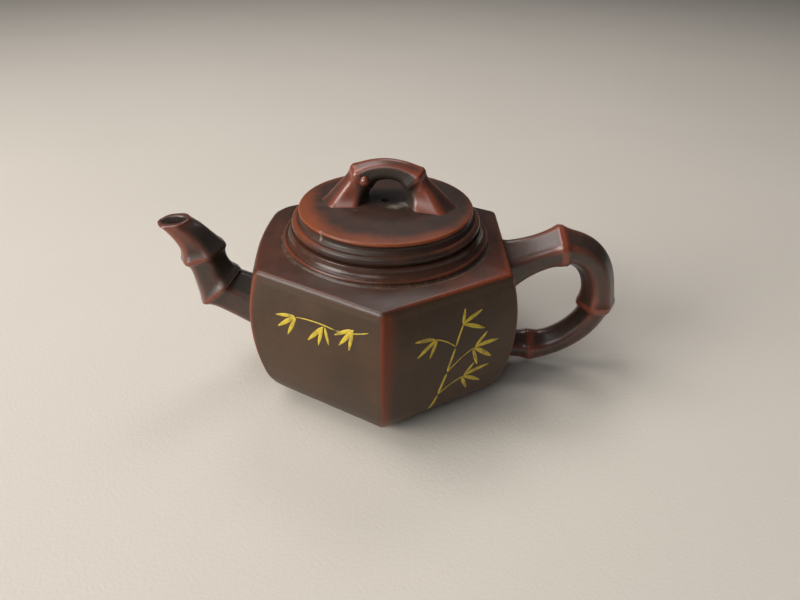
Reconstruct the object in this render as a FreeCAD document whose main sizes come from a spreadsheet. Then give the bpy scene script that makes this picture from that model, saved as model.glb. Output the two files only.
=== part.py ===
import FreeCAD, Part
import math
import os
import re

import Sketcher

Vector = FreeCAD.Vector
Constraint = Sketcher.Constraint

doc = FreeCAD.newDocument("Teapot")
sheet = doc.addObject("Spreadsheet::Sheet", "Sizes")

# Driving dimensions: lengths in millimetres, turns in degrees, ratios without a unit
sizes = {
    # six-sided pot, measured on its flats
    "belly_apothem": 42.9,
    "belly_height": 33.0,
    "shoulder_inset": 3.05,
    "shoulder_height": 52.0,
    "lower_bow": 80.0,
    "heel_height": 13.0,
    "heel_inset": 13.6,
    "wall_thickness": 3.0,
    "arris_round": 2.6,
    "shoulder_edge_round": 2.2,
    "base_thickness": 3.4,
    "foot_width": 4.5,
    "base_recess": 0.8,
    "shoulder_thickness": 2.8,
    # shoulder and neck, each step inwards from the one before
    "crown_rise": 1.4,
    "shoulder_ledge": 4.85,
    "neck_cove": 1.2,
    "neck_lip_height": 1.7,
    "lip_step": 0.9,
    "mouth_rim_height": 3.0,
    "neck_wall": 5.5,
    # lid
    "lid_clearance": 0.4,
    "flange_wall": 2.4,
    "flange_depth": 6.5,
    "lid_ring_step": 1.9,
    "lid_ring_height": 3.2,
    "lid_ring_round": 1.3,
    "lid_edge_round": 0.6,
    "lid_rim_step": 2.5,
    "lid_cove": 0.6,
    "lid_plate_height": 3.5,
    "lid_dome": 1.3,
    "vent_radius": 1.4,
    # bamboo spout: places outwards from the belly and above or below the shoulder edge
    "spout_root_in": 3.9,
    "spout_root_drop": 28.6,
    "spout_low_node_out": 15.6,
    "spout_low_node_drop": 18.6,
    "spout_high_node_out": 19.5,
    "spout_high_node_drop": 5.7,
    "spout_mouth_out": 27.5,
    "spout_mouth_rise": 5.5,
    "spout_mouth_tilt": 5.0,
    "spout_tip_start": 70.0,
    "spout_tip_end": 38.0,
    "spout_root": 22.5,
    "spout_low_node": 19.4,
    "spout_high_node": 16.9,
    "spout_mouth": 11.8,
    "spout_width": 0.88,
    "spout_cheek": 0.52,
    "spout_waist": 0.17,
    "spout_root_bore": 12.5,
    "spout_mouth_bore": 5.6,
    # strainer behind the pouring hole
    "strainer_radius": 8.6,
    "strainer_wall": 1.6,
    "strainer_rise": 5.6,
    "strainer_skirt": 4.5,
    "strainer_hole_radius": 0.9,
    "strainer_inner_ring": 2.6,
    "strainer_outer_ring": 5.2,
    # bamboo handle: places outwards from the belly, below the shoulder edge or above the table
    "handle_root_in": 4.9,
    "handle_root_drop": 10.0,
    "handle_top_node_out": 16.2,
    "handle_top_node_drop": 1.6,
    "handle_back_node_out": 32.6,
    "handle_back_node_height": 28.8,
    "handle_low_node_out": 11.1,
    "handle_low_node_height": 8.9,
    "handle_foot_in": 7.9,
    "handle_foot_height": 9.6,
    "handle_root": 20.5,
    "handle_top_node": 16.4,
    "handle_back_node": 13.9,
    "handle_low_node": 12.8,
    "handle_width": 1.0,
    "handle_cheek": 0.39,
    "handle_waist": 0.1,
    "ear_swing": 0.67,
    "ear_fall": 0.6,
    "low_fall": 0.52,
    "low_swing": 0.42,
    # bamboo knob: places on the lid, its feet inwards from the lid's rim
    "knob_turn": -6.0,
    "knob_shift": 0.7,
    "knob_foot_margin": 5.8,
    "knob_foot": 17.0,
    "knob_lean": 6.2,
    "knob_node_height": 9.5,
    "knob_node": 9.2,
    "knob_arch_rise": 1.7,
    "knob_arch_swing": 0.65,
    "knob_width": 0.88,
    "knob_cheek": 0.48,
    "knob_waist": 0.1,
    "bud_radius": 1.45,
    "bud_inwards": 0.9,
    "bud_drop": 1.1,
    # all bamboo stems
    "node_ring": 2.6,
    "node_drop": 0.84,
    "stem_round": 1.1,
}
for row, (alias, size) in enumerate(sizes.items(), start=1):
    sheet.set(f"A{row}", alias.replace("_", " "))
    sheet.set(f"B{row}", str(size))
    sheet.setAlias(f"B{row}", alias)
doc.recompute()

# Sizes that follow from the driving ones
shoulder_apothem = "(belly_apothem - shoulder_inset)"
base_apothem = "(belly_apothem - heel_inset)"
seam_height = "(shoulder_height - shoulder_thickness)"
outer_reach = "(belly_apothem * 1.5)"
neck_radius = f"({shoulder_apothem} - shoulder_ledge)"
lip_radius = f"({neck_radius} - neck_cove)"
rim_radius = f"({lip_radius} - lip_step)"
mouth_radius = f"({rim_radius} - neck_wall)"
neck_foot = "(shoulder_height + crown_rise)"
neck_joint = f"({neck_foot} + neck_lip_height)"
lid_seat = f"({neck_joint} + mouth_rim_height)"
lid_ring_radius = f"({rim_radius} - lid_ring_step)"
lid_rim_radius = f"({lid_ring_radius} - lid_rim_step)"
ring_top = f"({lid_seat} + lid_ring_height)"
plate_top = f"({ring_top} + lid_plate_height)"
flange_radius = f"({mouth_radius} - lid_clearance)"
flange_bore = f"({flange_radius} - flange_wall)"
flank_count = 6
half_flank = 180 / flank_count


# Expressions are written with the bare names of the sizes
def linked(text):
    return re.sub(r"[a-z_]+", lambda word: "Sizes." + word[0] if word[0] in sizes else word[0], text)


def number(text):
    return float(sheet.evalExpression(linked(text)))


def bind(thing, **expressions):
    for name, text in expressions.items():
        thing.setExpression(name.replace("__", "."), linked(text))


def add(kind, name, **settings):
    thing = doc.addObject(kind, name)
    for key, setting in settings.items():
        setattr(thing, key, setting)
    return thing


def about_z(degrees):
    return FreeCAD.Rotation(Vector(0, 0, 1), degrees)


def origin_of(body, role):
    return next(item for item in body.Origin.OriginFeatures if item.Role == role)


def plane_sketch(body, name, role, lift=None):
    sketch = body.newObject("Sketcher::SketchObject", name)
    sketch.AttachmentSupport = (origin_of(body, role), "")
    sketch.MapMode = "FlatFace"
    if lift:
        bind(sketch, AttachmentOffset__Base__z=lift)
    return sketch


def measure(sketch, kind, geometry, point, text):
    value = number(text)
    if kind == "Radius":
        index = sketch.addConstraint(Constraint(kind, geometry, value))
    else:
        index = sketch.addConstraint(Constraint(kind, -1, 1, geometry, point, value))
    bind(sketch, **{f"Constraints[{index}]": text})


def circle(sketch, radius, out=None):
    # circle about the sketch's origin, or on its upright axis at a distance from there
    centre = Vector(0, number(out) if out else 0)
    index = sketch.addGeometry(Part.Circle(centre, Vector(0, 0, 1), number(radius)))
    if out:
        sketch.addConstraint(Constraint("PointOnObject", index, 3, -2))
        measure(sketch, "DistanceY", index, 3, out)
    else:
        sketch.addConstraint(Constraint("Coincident", index, 3, -1, 1))
    measure(sketch, "Radius", index, 0, radius)
    return sketch


def round_edge(start, end, bend):
    # arc from start to end; a positive bend turns left on the way, a negative one turns right
    chord = end - start
    left = Vector(-chord.y, chord.x).normalize()
    sag = math.sqrt(max(bend * bend - chord.Length * chord.Length / 4, 0))
    centre = (start + end) / 2 + left * math.copysign(sag, bend)
    first, last = (start, end) if bend > 0 else (end, start)
    angles = [math.atan2(spot.y - centre.y, spot.x - centre.x) for spot in (first, last)]
    return Part.ArcOfCircle(Part.Circle(centre, Vector(0, 0, 1), abs(bend)), *angles)


def outline(sketch, corners):
    # closed outline through corners (x, y) or (x, y, bend): the bend shapes the edge that leaves the corner
    spots = [Vector(number(corner[0]), number(corner[1])) for corner in corners]
    count = len(corners)
    starts = []
    for index, corner in enumerate(corners):
        start, end = spots[index], spots[(index + 1) % count]
        bend = number(corner[2]) if len(corner) == 3 else 0
        sketch.addGeometry(round_edge(start, end, bend) if bend else Part.LineSegment(start, end))
        starts.append(2 if bend < 0 else 1)
    for index, corner in enumerate(corners):
        following = (index + 1) % count
        sketch.addConstraint(
            Constraint("Coincident", index, 3 - starts[index], following, starts[following]))
        for axis, kind, text in ((-2, "DistanceX", corner[0]), (-1, "DistanceY", corner[1])):
            if text == "0":
                sketch.addConstraint(Constraint("PointOnObject", index, starts[index], axis))
            else:
                measure(sketch, kind, index, starts[index], text)
        if len(corner) == 3:
            measure(sketch, "Radius", index, 0, f"abs({corner[2]})")
    return sketch


def turned_body(name, corners):
    # solid of revolution about the body's upright axis
    body = add("PartDesign::Body", name)
    sketch = outline(plane_sketch(body, name + "_outline", "XZ_Plane"), corners)
    turn = body.newObject("PartDesign::Revolution", name + "_turn")
    turn.Profile = sketch
    turn.ReferenceAxis = (sketch, ["V_Axis"])
    turn.Angle = 360
    doc.recompute()
    return body


def pattern_round(body, feature, count):
    pattern = body.newObject("PartDesign::PolarPattern", feature.Name + "_round")
    pattern.Originals = [feature]
    pattern.Axis = (origin_of(body, "Z_Axis"), [""])
    pattern.Angle = 360
    pattern.Occurrences = count
    body.Tip = pattern
    doc.recompute()
    return pattern


def soften(body, base, radius, test):
    # fillet along the edges of the base feature that pass the test
    names = [f"Edge{index}" for index, edge in enumerate(base.Shape.Edges, start=1) if test(edge)]
    fillet = body.newObject("PartDesign::Fillet", base.Name + "_soft")
    fillet.Base = (base, names)
    bind(fillet, Radius=radius)
    body.Tip = fillet
    doc.recompute()
    return fillet


# Pot form: a round billet whose six flanks are cut to the bowed side outline
def flank_outline(sketch, inset, bottom):
    # the space outside one wall, bounded by three arcs that run into each other: heel, lower bow, upper bow
    bulge = "shoulder_inset"
    rise = "(shoulder_height - belly_height)"
    upper_bow = f"(({rise})^2 + ({bulge})^2) / (2 * {bulge})"
    sine = "((belly_height - heel_height) / lower_bow)"
    cosine = f"sqrt(1 - {sine}^2)"
    heel_out = f"(belly_apothem - lower_bow * (1 - {cosine}))"
    heel_in = f"({heel_out} - {base_apothem})"
    heel_bow = f"(({heel_in}^2 + heel_height^2) / (2 * ({cosine} * {heel_in} - {sine} * heel_height)))"
    centre_out = f"({heel_out} - {heel_bow} * {cosine})"
    centre_up = f"(heel_height + {heel_bow} * {sine})"
    wall_bow = f"({heel_bow} - {inset})"
    foot_out = f"{centre_out} + sqrt({wall_bow}^2 - ({centre_up} - {bottom})^2)"
    over = "shoulder_height + wall_thickness"
    return outline(sketch, [
        (foot_out, bottom, wall_bow),
        (f"{heel_out} - {inset} * {cosine}", f"heel_height + {inset} * {sine}", f"lower_bow - {inset}"),
        (f"belly_apothem - {inset}", "belly_height", upper_bow),
        (f"{shoulder_apothem} - {inset}", "shoulder_height"),
        (f"{shoulder_apothem} - {inset}", over),
        (outer_reach, over),
        (outer_reach, bottom),
    ])


def six_sided(name, inset, bottom):
    body = add("PartDesign::Body", name)
    billet = body.newObject("PartDesign::Pad", name + "_billet")
    billet.Profile = circle(plane_sketch(body, name + "_plan", "XY_Plane", bottom), "belly_apothem * 1.3")
    bind(billet, Length=f"shoulder_height - {bottom}")
    flank = body.newObject("PartDesign::Pocket", name + "_flank")
    flank.Profile = flank_outline(plane_sketch(body, name + "_side", "XZ_Plane"), inset, bottom)
    flank.Type = "ThroughAll"
    flank.SideType = "Symmetric"
    return body, pattern_round(body, flank, flank_count)


def on_arris(edge):
    # both ends lie on an upright plane through the axis, halfway between two walls
    turns = [math.degrees(math.atan2(end.Y, end.X)) % 60 for end in edge.Vertexes]
    level = abs(edge.Vertexes[0].Z - edge.Vertexes[-1].Z) < 0.01
    return not level and all(abs(turn - half_flank) < 0.5 for turn in turns)


def on_shoulder_edge(edge):
    return all(abs(end.Z - number("shoulder_height")) < 0.01 for end in edge.Vertexes)


pot_form, pot_flanks = six_sided("pot_form", "0", "0")
pot_arrises = soften(pot_form, pot_flanks, "arris_round", on_arris)

# Crown of the shoulder: blends the six-sided top into the round seat of the neck
pot_faces = pot_arrises.Shape.Faces
top_face = max(range(len(pot_faces)), key=lambda index: pot_faces[index].CenterOfMass.z)
crown = pot_form.newObject("PartDesign::AdditiveLoft", "crown")
crown.Profile = (pot_arrises, [f"Face{top_face + 1}"])
crown.Sections = [(circle(plane_sketch(pot_form, "neck_seat", "XY_Plane", neck_foot), neck_radius), [""])]
crown.Ruled = True
doc.recompute()
soften(pot_form, crown, "shoulder_edge_round", on_shoulder_edge)
cavity_form, _ = six_sided("cavity_form", "wall_thickness", "base_thickness")


def disc(name, bottom, height, radius=outer_reach):
    cylinder = add("Part::Cylinder", name)
    bind(cylinder, Radius=radius, Height=height, Placement__Base__z=bottom)
    return cylinder


# Six wall slabs, mitred where they meet, named by the side they face
wall_shell = add("Part::Cut", "wall_shell", Base=pot_form, Tool=cavity_form)
wall_names = [
    "wall_handle_side",
    "wall_back_right",
    "wall_back_left",
    "wall_spout_side",
    "wall_front_left",
    "wall_front_right",
]


def wall_slab(name, facing):
    wedge = disc(name + "_wedge", "base_thickness", f"{seam_height} - base_thickness")
    wedge.Angle = 2 * half_flank
    wedge.Placement.Rotation = about_z(facing - half_flank)
    return add("Part::Common", name + "_slab", Base=wall_shell, Tool=wedge)


parts = {name: wall_slab(name, 2 * half_flank * index) for index, name in enumerate(wall_names)}

# Base slab with a shallow six-sided recess underneath
base_blank = add("Part::Common", "base_blank", Base=pot_form, Tool=disc("base_layer", "0", "base_thickness"))
base_recess = add("Part::Prism", "base_recess_block", Polygon=flank_count)
bind(base_recess, Circumradius=f"({base_apothem} - foot_width) / cos({half_flank})", Height="base_recess")
base_recess.Placement.Rotation = about_z(half_flank)
parts["base_slab"] = add("Part::Cut", "base_slab", Base=base_blank, Tool=base_recess)

# Shoulder slab, open at the mouth
shoulder_layer = disc("shoulder_layer", seam_height, "shoulder_thickness + crown_rise * 2")
shoulder_blank = add("Part::Common", "shoulder_blank", Base=pot_form, Tool=shoulder_layer)
mouth_bore = disc("mouth_bore", "0", "shoulder_height * 2", mouth_radius)
parts["shoulder_slab"] = add("Part::Cut", "shoulder_slab", Base=shoulder_blank, Tool=mouth_bore)

# Neck in two rings: a lip with a cove below it, and a beaded rim that carries the lid
parts["neck_ring"] = turned_body("neck_ring", [
    (mouth_radius, neck_foot),
    (neck_radius, neck_foot, "-neck_cove"),
    (lip_radius, f"{neck_foot} + neck_lip_height * 0.6"),
    (lip_radius, neck_joint),
    (mouth_radius, neck_joint),
])
parts["mouth_rim"] = turned_body("mouth_rim", [
    (mouth_radius, neck_joint),
    (rim_radius, neck_joint),
    (rim_radius, f"{neck_joint} + mouth_rim_height * 0.2", "mouth_rim_height * 0.6"),
    (f"{rim_radius} - mouth_rim_height * 0.4", lid_seat),
    (mouth_radius, lid_seat),
])

# Lid: edging ring on the rim, domed disc with a cove above it, flange in the mouth
lid_plate = turned_body("lid_plate", [
    ("0", ring_top),
    (f"{lid_rim_radius} + lid_cove", ring_top, "-lid_plate_height * 0.7"),
    (f"{lid_rim_radius} - lid_cove * 0.5", f"{plate_top} - lid_edge_round * 2"),
    (lid_rim_radius, f"{plate_top} - lid_edge_round", "lid_edge_round"),
    (f"{lid_rim_radius} - lid_edge_round", plate_top, f"({lid_rim_radius}^2 + lid_dome^2) / (2 * lid_dome)"),
    ("0", f"{plate_top} + lid_dome"),
])
vent = lid_plate.newObject("PartDesign::Pocket", "vent")
vent.Profile = circle(plane_sketch(lid_plate, "vent_plan", "XY_Plane", ring_top), "vent_radius")
vent.Type = "ThroughAll"
vent.Reversed = True
parts["lid_plate"] = lid_plate
parts["lid_ring"] = turned_body("lid_ring", [
    (flange_bore, lid_seat),
    (f"{lid_ring_radius} - lid_ring_round", lid_seat, "lid_ring_round"),
    (lid_ring_radius, f"{lid_seat} + lid_ring_round"),
    (lid_ring_radius, f"{ring_top} - lid_ring_round", "lid_ring_round"),
    (f"{lid_ring_radius} - lid_ring_round", ring_top),
    (flange_bore, ring_top),
])
parts["lid_flange"] = turned_body("lid_flange", [
    (flange_bore, f"{lid_seat} - flange_depth"),
    (f"{flange_radius} - lid_edge_round", f"{lid_seat} - flange_depth"),
    (flange_radius, f"{lid_seat} - flange_depth + lid_edge_round * 2"),
    (flange_radius, lid_seat),
    (flange_bore, lid_seat),
])


# Bamboo stems: six-sided sections carried along cubic curves in one upright plane
def across(spot, along):
    # placement of a section: its upright axis stays in the stem's plane
    side = Vector(0, 1, 0)
    return FreeCAD.Placement(spot, FreeCAD.Rotation(side, along.cross(side), along, "ZXY"))


def stem_section(stem, spot, along, size):
    # hexagon with one corner up and one down, upright cheeks left and right, and soft corners
    sketch = stem["body"].newObject("Sketcher::SketchObject", stem["body"].Name + "_section")
    tall = f"({size}) / 2"
    wide = f"{tall} * {stem['width']}"
    cheek = f"{tall} * {stem['cheek']}"
    right, top, low = number(wide), number(tall), number(cheek)
    corners = [(0, top), (right, low), (right, -low), (0, -top), (-right, -low), (-right, low)]
    count = len(corners)
    for index, corner in enumerate(corners):
        sketch.addGeometry(Part.LineSegment(Vector(*corner), Vector(*corners[(index + 1) % count])))
    for index in range(count):
        sketch.addConstraint(Constraint("Coincident", index, 2, (index + 1) % count, 1))
    sketch.addConstraint(Constraint("PointOnObject", 0, 1, -2))
    sketch.addConstraint(Constraint("Symmetric", 0, 1, 3, 1, -1, 1))
    sketch.addConstraint(Constraint("Symmetric", 1, 1, 5, 1, -2))
    sketch.addConstraint(Constraint("Symmetric", 2, 1, 4, 1, -2))
    sketch.addConstraint(Constraint("Symmetric", 1, 1, 2, 1, -1))
    measure(sketch, "DistanceY", 0, 1, tall)
    measure(sketch, "DistanceX", 1, 1, wide)
    measure(sketch, "DistanceY", 1, 1, cheek)
    for index in range(count):
        sketch.fillet(index, 2, number("stem_round"), True, True)
    arcs = [index for index, edge in enumerate(sketch.Geometry) if edge.TypeId == "Part::GeomArcOfCircle"]
    for arc in arcs[1:]:
        sketch.addConstraint(Constraint("Equal", arcs[0], arc))
    measure(sketch, "Radius", arcs[0], 0, "stem_round")
    sketch.Placement = across(spot, along)
    return sketch


def along_curve(controls, share):
    # point and direction at a share of the way along a cubic curve
    start, lead, tail, end = controls
    rest = 1 - share
    spot = start * rest**3 + lead * 3 * rest**2 * share + tail * 3 * rest * share**2 + end * share**3
    way = (lead - start) * rest**2 + (tail - lead) * 2 * rest * share + (end - tail) * share**2
    return spot, way.normalize()


def loft(body, kind, sections, ruled=False):
    feature = body.newObject(kind, body.Name + "_span")
    feature.Profile = sections[0]
    feature.Sections = [(section, [""]) for section in sections[1:]]
    feature.Ruled = ruled
    doc.recompute()


def stem_span(stem, opening, closing, controls, sizes_at_ends, middles):
    # one span, thinner at its middle than at its ends
    first, last = sizes_at_ends
    sections = [opening]
    for step in range(1, middles + 1):
        share = step / (middles + 1)
        thinning = f"(1 - {stem['waist']} * {4 * share * (1 - share)})"
        size = f"(({first}) * {1 - share} + ({last}) * {share}) * {thinning}"
        sections.append(stem_section(stem, *along_curve(controls, share), size))
    loft(stem["body"], "PartDesign::AdditiveLoft", sections + [closing])


def bamboo(name, curves, nodes, start, end, **stem):
    # spans joined by nodes: a span flares into each node's ridge, and on its other side the stem steps down
    stem["body"] = add("PartDesign::Body", name)
    opening = stem_section(stem, curves[0][0], start["along"], start["size"])
    first = start["size"]
    spans = zip(nodes, curves, curves[1:], stem["middles"], stem["flares"])
    for node, controls, following, middles, flare in spans:
        along = (along_curve(controls, 1)[1] + along_curve(following, 0)[1]).normalize()
        half_ring = along * (number("node_ring") / 2)
        before = f"{node} * (1 + node_drop) / 2"
        after = f"{node} * node_drop"
        towards_flare = -0.15
        if flare == "after":
            before, after = after, before
            towards_flare = 0.15
        closing = stem_section(stem, controls[3] - half_ring, along, before)
        stem_span(stem, opening, closing, controls, (first, before), middles)
        ridge = stem_section(stem, controls[3] + half_ring * towards_flare, along, node)
        opening = stem_section(stem, controls[3] + half_ring, along, after)
        loft(stem["body"], "PartDesign::AdditiveLoft", [closing, ridge, opening], ruled=True)
        first = after
    closing = stem_section(stem, curves[-1][3], end["along"], end["size"])
    stem_span(stem, opening, closing, curves[-1], (first, end["size"]), stem["middles"][-1])
    return stem["body"]


def place(out, up, side=1):
    return Vector(side * number(out), 0, number(up))


def straight(start, end):
    return [start, start + (end - start) / 3, start + (end - start) * (2 / 3), end]


# Spout: root, middle and tip spans, with a round channel that narrows from the pot to the mouth
spout_stops = [
    place("belly_apothem - spout_root_in", "shoulder_height - spout_root_drop", -1),
    place("belly_apothem + spout_low_node_out", "shoulder_height - spout_low_node_drop", -1),
    place("belly_apothem + spout_high_node_out", "shoulder_height - spout_high_node_drop", -1),
    place("belly_apothem + spout_mouth_out", "shoulder_height + spout_mouth_rise", -1),
]


def leaning(degrees):
    # direction outwards on the spout's side, raised by an angle
    return Vector(-math.cos(math.radians(degrees)), 0, math.sin(math.radians(degrees)))


spout_root, spout_low, spout_high, spout_mouth = spout_stops
tip_third = (spout_mouth - spout_high).Length / 3
spout_curves = [
    straight(spout_root, spout_low),
    straight(spout_low, spout_high),
    [
        spout_high,
        spout_high + leaning(number("spout_tip_start")) * tip_third,
        spout_mouth - leaning(number("spout_tip_end")) * tip_third,
        spout_mouth,
    ],
]
root_way = (spout_low - spout_root).normalize()
spout_form = bamboo(
    "spout_form",
    spout_curves,
    ["spout_low_node", "spout_high_node"],
    {"size": "spout_root", "along": root_way},
    {"size": "spout_mouth", "along": leaning(90 - number("spout_mouth_tilt"))},
    width="spout_width", cheek="spout_cheek", waist="spout_waist", middles=[1, 1, 1],
    flares=["after", "after"],
)
bore_stops = [(spout_root - root_way * number("wall_thickness"), root_way)]
bore_stops += [along_curve(spout_curves[0], 0.5)]
for controls, following in zip(spout_curves, spout_curves[1:]):
    turn = along_curve(controls, 1)[1] + along_curve(following, 0)[1]
    bore_stops += [(controls[3], turn.normalize()), along_curve(following, 0.5)]
tip_way = leaning(number("spout_tip_end"))
bore_stops += [(spout_mouth + tip_way * number("spout_mouth / 2"), tip_way)]
bore_sections = []
for index, (spot, along) in enumerate(bore_stops):
    share = index / (len(bore_stops) - 1)
    bore_sketch = spout_form.newObject("Sketcher::SketchObject", "spout_bore")
    circle(bore_sketch, f"(spout_root_bore * {1 - share} + spout_mouth_bore * {share}) / 2")
    bore_sketch.Placement = across(spot, along)
    bore_sections.append(bore_sketch)
loft(spout_form, "PartDesign::SubtractiveLoft", bore_sections)
parts["spout"] = add("Part::Cut", "spout", Base=spout_form, Tool=pot_form)

# Pouring hole through the wall, in line with the spout's root
pouring_hole = add("Part::Cylinder", "pouring_hole")
bind(pouring_hole, Radius="spout_root_bore / 2", Height="wall_thickness * 6")
pouring_hole.Placement = across(spout_root - root_way * number("wall_thickness * 3"), root_way)
parts["wall_spout_side"] = add(
    "Part::Cut", "wall_spout_side_pierced", Base=parts["wall_spout_side"], Tool=pouring_hole)

# Strainer: a pierced dome on the inside of the wall, over the pouring hole
strainer_bow = "(strainer_radius^2 + strainer_rise^2) / (2 * strainer_rise)"
strainer_form = turned_body("strainer_form", [
    ("strainer_radius - strainer_wall", "0"),
    ("strainer_radius", "0"),
    ("strainer_radius", "strainer_skirt", strainer_bow),
    ("0", "strainer_skirt + strainer_rise"),
    ("0", "strainer_skirt + strainer_rise - strainer_wall", f"-({strainer_bow} - strainer_wall)"),
    ("strainer_radius - strainer_wall", "strainer_skirt"),
])


def pierce(name, out, count):
    hole = strainer_form.newObject("PartDesign::Pocket", name)
    plan = plane_sketch(strainer_form, name + "_plan", "XY_Plane")
    hole.Profile = circle(plan, "strainer_hole_radius", out)
    hole.Type = "ThroughAll"
    hole.Reversed = True
    doc.recompute()
    if count > 1:
        pattern_round(strainer_form, hole, count)


pierce("strainer_middle_hole", None, 1)
pierce("strainer_inner_hole", "strainer_inner_ring", 6)
pierce("strainer_outer_hole", "strainer_outer_ring", 12)
inside_wall = number("belly_apothem - wall_thickness - strainer_skirt * 0.5")
strainer_spot = Vector(-inside_wall - number("strainer_skirt"), 0, spout_root.z)
strainer_form.Placement = FreeCAD.Placement(strainer_spot, FreeCAD.Rotation(Vector(0, 1, 0), 90))
parts["strainer"] = add("Part::Common", "strainer", Base=strainer_form, Tool=cavity_form)

# Handle: rising root, round back, low span and a short foot
handle_root = place("belly_apothem - handle_root_in", "shoulder_height - handle_root_drop")
handle_top = place("belly_apothem + handle_top_node_out", "shoulder_height - handle_top_node_drop")
handle_back = place("belly_apothem + handle_back_node_out", "handle_back_node_height")
handle_low = place("belly_apothem + handle_low_node_out", "handle_low_node_height")
handle_foot = place("belly_apothem - handle_foot_in", "handle_foot_height")
ear_out = Vector((handle_back.x - handle_top.x) * number("ear_swing"), 0, 0)
ear_down = Vector(0, 0, (handle_top.z - handle_back.z) * number("ear_fall"))
low_down = Vector(0, 0, (handle_back.z - handle_low.z) * number("low_fall"))
low_out = Vector((handle_back.x - handle_low.x) * number("low_swing"), 0, 0)
handle_form = bamboo(
    "handle_form",
    [
        straight(handle_root, handle_top),
        [handle_top, handle_top + ear_out, handle_back + ear_down, handle_back],
        [handle_back, handle_back - low_down, handle_low + low_out, handle_low],
        straight(handle_low, handle_foot),
    ],
    ["handle_top_node", "handle_back_node", "handle_low_node"],
    {"size": "handle_root", "along": (handle_top - handle_root).normalize()},
    {"size": "handle_low_node", "along": (handle_foot - handle_low).normalize()},
    width="handle_width", cheek="handle_cheek", waist="handle_waist", middles=[1, 3, 3, 0],
    flares=["before", "before", "before"],
)
parts["handle"] = add("Part::Cut", "handle", Base=handle_form, Tool=pot_form)

# Knob: an arch between two nodes, on two flared feet that sit on the domed lid
knob_foot_out = f"({lid_rim_radius} - knob_foot_margin - knob_foot / 2)"
knob_node_out = f"({knob_foot_out} - knob_lean)"
knob_node_up = f"({plate_top} + lid_dome + knob_node_height)"
left_foot, right_foot = (place(knob_foot_out, plate_top, side) for side in (-1, 1))
left_node, right_node = (place(knob_node_out, knob_node_up, side) for side in (-1, 1))
arch_out = Vector(number(f"{knob_node_out} * knob_arch_swing"), 0, 0)
arch_up = Vector(0, 0, number("knob_arch_rise * 4 / 3"))
knob_form = bamboo(
    "knob_form",
    [
        straight(left_foot, left_node),
        [left_node, left_node + arch_out + arch_up, right_node - arch_out + arch_up, right_node],
        straight(right_node, right_foot),
    ],
    ["knob_node", "knob_node"],
    {"size": "knob_foot", "along": Vector(0, 0, 1)},
    {"size": "knob_foot", "along": Vector(0, 0, -1)},
    width="knob_width", cheek="knob_cheek", waist="knob_waist", middles=[1, 3, 1],
    flares=["after", "before"],
)
knob_place = FreeCAD.Placement(Vector(number("knob_shift"), 0, 0), about_z(number("knob_turn")))
knob_form.Placement = knob_place
doc.recompute()
parts["knob"] = add("Part::Cut", "knob", Base=knob_form, Tool=lid_plate)

# Bud: a small egg of clay on the front cheek, just inside and below the left node
bud_form = add("Part::Ellipsoid", "bud_form")
bind(bud_form, Radius1="bud_radius * 1.35", Radius2="bud_radius", Radius3="bud_radius")
bud_spot = Vector(
    number(f"bud_inwards - {knob_node_out}"),
    number("-knob_node * knob_width / 2"),
    number(f"{knob_node_up} - bud_drop"),
)
bud_form.Placement = knob_place.multiply(FreeCAD.Placement(bud_spot, FreeCAD.Rotation()))
parts["knob_bud"] = add("Part::Cut", "knob_bud", Base=bud_form, Tool=knob_form)

doc.recompute()
for thing in doc.Objects:
    if "Invalid" in thing.State or "Error" in thing.State:
        raise RuntimeError(f"{thing.Label} failed: {thing.State}")
for name, thing in parts.items():
    thing.Label = name
    if thing.Shape.isNull() or not thing.Shape.isValid() or len(thing.Shape.Solids) != 1:
        raise RuntimeError(f"{name} is not one valid solid")
os.makedirs("parts", exist_ok=True)
for name, thing in parts.items():
    thing.Shape.exportStep(f"parts/{name}.step")
    print(f"{name}: {thing.Shape.Volume:.0f} cubic millimetres")
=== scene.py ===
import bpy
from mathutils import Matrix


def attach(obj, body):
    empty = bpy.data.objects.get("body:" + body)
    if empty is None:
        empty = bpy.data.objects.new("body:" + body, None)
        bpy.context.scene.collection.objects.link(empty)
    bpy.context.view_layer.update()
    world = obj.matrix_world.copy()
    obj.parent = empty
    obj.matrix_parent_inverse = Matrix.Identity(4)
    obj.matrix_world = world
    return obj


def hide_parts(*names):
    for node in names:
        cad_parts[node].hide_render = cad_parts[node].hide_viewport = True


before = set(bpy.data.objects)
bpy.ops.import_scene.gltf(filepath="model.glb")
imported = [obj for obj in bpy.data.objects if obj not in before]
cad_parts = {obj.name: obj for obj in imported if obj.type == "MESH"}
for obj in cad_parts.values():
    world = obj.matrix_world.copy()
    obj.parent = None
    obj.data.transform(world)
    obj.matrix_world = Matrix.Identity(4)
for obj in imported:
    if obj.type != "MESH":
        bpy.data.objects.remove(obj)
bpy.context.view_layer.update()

import math

import bmesh
import bpy
import numpy as np
from mathutils import Matrix

print("frame loaded:", len(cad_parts), "clay pieces")

# All shapes are worked out in millimetres in the frame's own axes and scaled when a mesh is made.
millimetre = 0.001


# Grids to meshes

def gridFaces(rows, cols, first, loop, ring):
    # quads between neighbouring rows and columns, closed over the rows (loop) or the columns (ring)
    index = np.arange(rows * cols).reshape(rows, cols) + first
    if loop:
        index = np.vstack([index, index[:1]])
    if ring:
        index = np.hstack([index, index[:, :1]])
    corners = [index[:-1, :-1], index[:-1, 1:], index[1:, 1:], index[1:, :-1]]
    return np.stack(corners, -1).reshape(-1, 4).tolist(), index


def sheet(x, y, z, loop=False, ring=False, caps="", **marks):
    # one grid of points with its marks; caps names the borders that are filled: rows or columns
    spread = np.broadcast_arrays(x, y, z)
    shape = spread[0].shape
    marks = {name: np.broadcast_to(values, shape) for name, values in marks.items()}
    return {"points": np.stack(spread, -1), "loop": loop, "ring": ring, "caps": caps, "marks": marks}


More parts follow.
